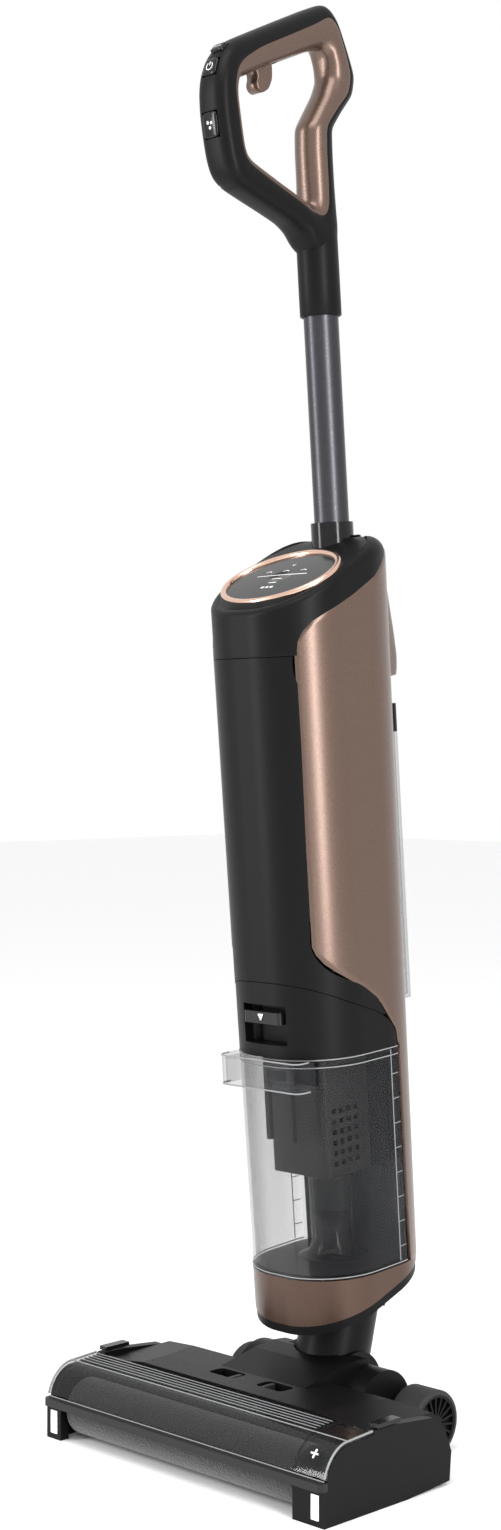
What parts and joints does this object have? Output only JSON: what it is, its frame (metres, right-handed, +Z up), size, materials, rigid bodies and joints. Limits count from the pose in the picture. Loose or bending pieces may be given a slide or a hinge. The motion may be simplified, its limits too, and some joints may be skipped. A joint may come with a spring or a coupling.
{
  "type": "wet dry floor scrubber",
  "caption": "Cordless upright scrubber: floor head with clear-covered microfibre roller, swivelling neck, body with dirty and clean water tanks, oval display, pole and loop handle with trigger.",
  "frame": {"origin": "on the floor under the middle of the parked scrubber's box", "axes": "+Z up, -Y towards the roller at the front, +X to the right seen from behind"},
  "size_m": [0.293, 0.2345, 1.1004],
  "materials": {
    "black_moulding": "fine spark-eroded black moulding",
    "black_gloss": "polished black moulding",
    "bronze_paint": "satin bronze metallic paint on a moulding",
    "bronze_dark": "satin dark bronze metallic paint on a moulding",
    "rose_ring": "polished rose-gold anodised ring",
    "display_glass": "dark smoked display window, printed from behind",
    "circuit_board": "green lacquered circuit board",
    "clear_tank": "clear moulded polycarbonate, polished",
    "clear_cover": "clear moulded polycarbonate, polished",
    "clear_lens": "frosted clear lamp lens",
    "black_tube": "black anodised drawn tube",
    "grey_moulding": "dark grey moulding",
    "black_rubber": "soft black rubber",
    "tyre_rubber": "moulded rubber tread",
    "roller_nap": "short grey microfibre nap",
    "cell_pack": "shrink-wrapped cell pack",
    "motor_steel": "pressed steel can",
    "bearing_steel": "ground bearing ring",
    "screw_steel": "zinc plated screw",
    "filter_fabric": "pleated filter fleece"
  },
  "bodies": {
    "floor_head": {"side_panel_right": "black_moulding", "side_panel_left": "black_moulding", "head_base": "black_moulding", "head_top_cover": "black_moulding", "front_bumper": "grey_moulding", "led_lenses": "clear_lens", "wiper_strip": "black_rubber", "suction_duct": "grey_moulding", "roller_motor": "motor_steel", "drive_belt": "black_rubber", "head_screws": "screw_steel", "wheel_axles": "screw_steel", "cover_catches": "black_gloss"},
    "brush_roll": {"roller_core": "grey_moulding", "roller_nap": "roller_nap", "roller_pulley": "grey_moulding", "roller_bearing": "bearing_steel"},
    "motor_pulley": {"motor_pulley": "grey_moulding"},
    "roller_cover": {"roller_cover": "clear_cover", "cover_end_cap": "clear_cover"},
    "wheel_left": {"wheel_hub_left": "black_moulding", "tyre_left": "tyre_rubber"},
    "wheel_right": {"wheel_hub_right": "black_moulding", "tyre_right": "tyre_rubber"},
    "release_tab_left": {"release_tab_left": "grey_moulding"},
    "release_tab_right": {"release_tab_right": "grey_moulding"},
    "neck": {"neck": "black_moulding"},
    "main_body": {"base_trim": "black_moulding", "base_ring": "bronze_dark", "tank_tray": "black_moulding", "side_shell_left": "bronze_paint", "side_shell_right": "bronze_paint", "front_panel": "black_moulding", "top_housing": "black_moulding", "display_ring": "rose_ring", "display_glass": "display_glass", "display_board": "circuit_board", "inner_frame": "grey_moulding", "battery_pack": "cell_pack", "suction_motor": "motor_steel", "water_pump": "grey_moulding", "pole_socket": "black_gloss", "pole": "black_tube", "handle_shell": "black_moulding", "handle_collar": "black_moulding", "grip_loop": "bronze_paint"},
    "impeller": {"impeller": "grey_moulding"},
    "trigger": {"trigger": "bronze_paint"},
    "power_button": {"power_button": "black_gloss"},
    "mode_button": {"mode_button": "black_gloss"},
    "boost_button": {"boost_button": "black_gloss"},
    "dirty_tank": {"dirty_tank": "clear_tank", "tank_lid": "black_moulding", "filter_cage": "grey_moulding", "inlet_tube": "clear_tank", "level_probe": "grey_moulding", "dry_filter": "filter_fabric"},
    "tank_latch": {"tank_latch": "black_gloss"},
    "clean_tank": {"clean_tank": "clear_tank", "clean_tank_cap": "black_moulding"}
  },
  "joints": [
    {"name": "roller_spin", "type": "hinge", "parent": "floor_head", "child": "brush_roll", "pos_m": [0, -0.0882, 0.023], "axis": [1, 0, 0], "continuous": true},
    {"name": "motor_pulley_spin", "type": "hinge", "parent": "floor_head", "child": "motor_pulley", "pos_m": [0, -0.0252, 0.027], "axis": [1, 0, 0], "continuous": true},
    {"name": "cover_lift", "type": "slide", "parent": "floor_head", "child": "roller_cover", "axis": [0, 0, 1], "range_m": [0, 0.06]},
    {"name": "release_tab_left_press", "type": "slide", "parent": "floor_head", "child": "release_tab_left", "axis": [1, 0, 0], "range_m": [0, 0.003], "stiffness_N_per_m": 400, "springref_m": -0.003},
    {"name": "release_tab_right_press", "type": "slide", "parent": "floor_head", "child": "release_tab_right", "axis": [-1, 0, 0], "range_m": [0, 0.003], "stiffness_N_per_m": 400, "springref_m": -0.003},
    {"name": "wheel_left_spin", "type": "hinge", "parent": "floor_head", "child": "wheel_left", "pos_m": [-0.0864, 0.0588, 0.025], "axis": [1, 0, 0], "continuous": true},
    {"name": "wheel_right_spin", "type": "hinge", "parent": "floor_head", "child": "wheel_right", "pos_m": [0.0864, 0.0588, 0.025], "axis": [1, 0, 0], "continuous": true},
    {"name": "neck_tilt", "type": "hinge", "parent": "floor_head", "child": "neck", "pos_m": [0, 0.0468, 0.04], "axis": [-1, 0, 0], "range_deg": [0, 66]},
    {"name": "body_swivel", "type": "hinge", "parent": "neck", "child": "main_body", "pos_m": [0, 0.0468, 0.04], "axis": [0, 0.2521, 0.9677], "range_deg": [-40, 40]},
    {"name": "impeller_spin", "type": "hinge", "parent": "main_body", "child": "impeller", "pos_m": [0, 0.02425, 0.40937], "axis": [0, -0.0785, 0.9969], "continuous": true},
    {"name": "dirty_tank_pull", "type": "slide", "parent": "main_body", "child": "dirty_tank", "axis": [0, -0.9969, -0.0785], "range_m": [0, 0.14]},
    {"name": "tank_latch_press", "type": "slide", "parent": "dirty_tank", "child": "tank_latch", "axis": [0, 0.0785, -0.9969], "range_m": [0, 0.004], "stiffness_N_per_m": 500, "springref_m": -0.003},
    {"name": "clean_tank_pull", "type": "slide", "parent": "main_body", "child": "clean_tank", "axis": [0, 0.9969, 0.0785], "range_m": [0, 0.06]},
    {"name": "trigger_pull", "type": "hinge", "parent": "main_body", "child": "trigger", "pos_m": [0, -0.04144, 1.04016], "axis": [1, 0, 0], "range_deg": [0, 8], "stiffness_Nm_per_rad": 0.4, "springref_deg": -11.46},
    {"name": "power_press", "type": "slide", "parent": "main_body", "child": "power_button", "axis": [0, 0.9505, -0.3107], "range_m": [0, 0.001], "stiffness_N_per_m": 800, "springref_m": -0.001},
    {"name": "mode_press", "type": "slide", "parent": "main_body", "child": "mode_button", "axis": [0, 0.9877, 0.1564], "range_m": [0, 0.001], "stiffness_N_per_m": 800, "springref_m": -0.001},
    {"name": "boost_press", "type": "slide", "parent": "main_body", "child": "boost_button", "axis": [0, 0.7337, -0.6794], "range_m": [0, 0.001], "stiffness_N_per_m": 800, "springref_m": -0.001}
  ],
  "couplings": [
    {"joint": "motor_pulley_spin", "follows": "roller_spin", "ratio": 1.625}
  ]
}
